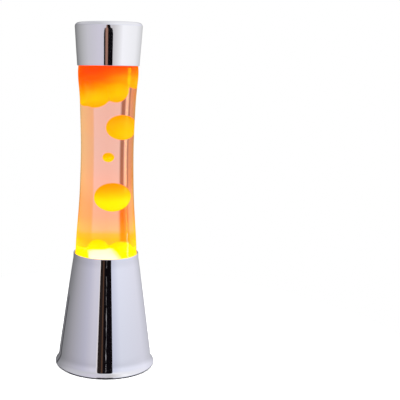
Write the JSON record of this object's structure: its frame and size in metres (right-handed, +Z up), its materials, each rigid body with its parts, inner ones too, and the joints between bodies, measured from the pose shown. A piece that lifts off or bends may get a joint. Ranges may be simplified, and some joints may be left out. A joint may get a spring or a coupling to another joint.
{
  "type": "lava lamp",
  "caption": "Lit lava lamp: glass bottle of liquid and rising wax between a flared chrome base, which hides a reflector bulb, and a lift-off chrome cap.",
  "frame": {"origin": "on the lamp's axis, at the surface that the feet stand on", "axes": "+Z up along the lamp's axis, -Y towards the front, cord inlet towards +Y"},
  "size_m": [0.115, 0.115, 0.39],
  "materials": {
    "chrome": "mirror polished, spun",
    "steel": "zinc plated",
    "brass": "bright",
    "closure_metal": "lacquered, fluted skirt",
    "black_plastic": "moulded, fine grain",
    "ceramic": "unglazed",
    "foot_rubber": "matt",
    "silicone": "translucent, matt",
    "lead_insulation": "sleeved",
    "bulb_glass": "frosted face, silvered cone",
    "filament": "coiled wire",
    "bottle_glass": "clear",
    "liquid": "clear, tinted, lit from below",
    "wax": "molten, translucent, glowing"
  },
  "bodies": {
    "base": {"base_shell": "chrome", "cord_inlet": "black_plastic", "bottle_seat": "steel", "seat_gasket": "silicone", "cover_ring": "steel", "bottom_cover": "black_plastic", "cover_screw_1": "steel", "cover_screw_2": "steel", "cover_screw_3": "steel", "foot_1": "foot_rubber", "foot_2": "foot_rubber", "foot_3": "foot_rubber", "foot_4": "foot_rubber", "lampholder_bracket": "steel", "bracket_screw_1": "steel", "bracket_screw_2": "steel", "lampholder_body": "ceramic", "lampholder_shell": "brass", "lampholder_contact": "brass", "lampholder_nipple": "steel", "nipple_nut": "steel", "terminal_block": "ceramic", "live_lead": "lead_insulation", "neutral_lead": "lead_insulation"},
    "bulb_foot": {"bulb_contact": "steel"},
    "bulb": {"bulb_glass": "bulb_glass", "bulb_cap": "brass", "bulb_insulator": "black_plastic", "bulb_filament": "filament"},
    "bottle": {"glass_bottle": "bottle_glass", "closure_seal": "silicone", "bottle_closure": "closure_metal", "heat_coil": "steel", "wax_top": "wax", "wax_pool": "wax", "carrier_liquid": "liquid"},
    "upper_wax": {"wax_blob_upper": "wax"},
    "small_wax": {"wax_blob_small": "wax"},
    "middle_wax": {"wax_blob_middle": "wax"},
    "cap": {"top_cap": "chrome"}
  },
  "joints": [
    {"name": "bulb_rise", "type": "slide", "parent": "base", "child": "bulb_foot", "axis": [0, 0, 1], "range_m": [0, 0.0141]},
    {"name": "bulb_turn", "type": "hinge", "parent": "bulb_foot", "child": "bulb", "pos_m": [0, 0, 0.04], "axis": [0, 0, 1], "range_deg": [0, 1800]},
    {"name": "bottle_lift", "type": "slide", "parent": "base", "child": "bottle", "axis": [0, 0, 1], "range_m": [0, 0.06]},
    {"name": "upper_wax_drift", "type": "slide", "parent": "bottle", "child": "upper_wax", "axis": [0, 0, 1], "range_m": [-0.01, 0.012], "deforming": ["carrier_liquid"]},
    {"name": "small_wax_drift", "type": "slide", "parent": "bottle", "child": "small_wax", "axis": [0, 0, 1], "range_m": [-0.009, 0.007], "deforming": ["carrier_liquid"]},
    {"name": "middle_wax_drift", "type": "slide", "parent": "bottle", "child": "middle_wax", "axis": [0, 0, 1], "range_m": [-0.03, 0.014], "deforming": ["carrier_liquid"]},
    {"name": "cap_lift", "type": "slide", "parent": "bottle", "child": "cap", "axis": [0, 0, 1], "range_m": [0, 0.06]}
  ],
  "couplings": [
    {"joint": "bulb_turn", "follows": "bulb_rise", "rad_per_m": 2226.5}
  ]
}
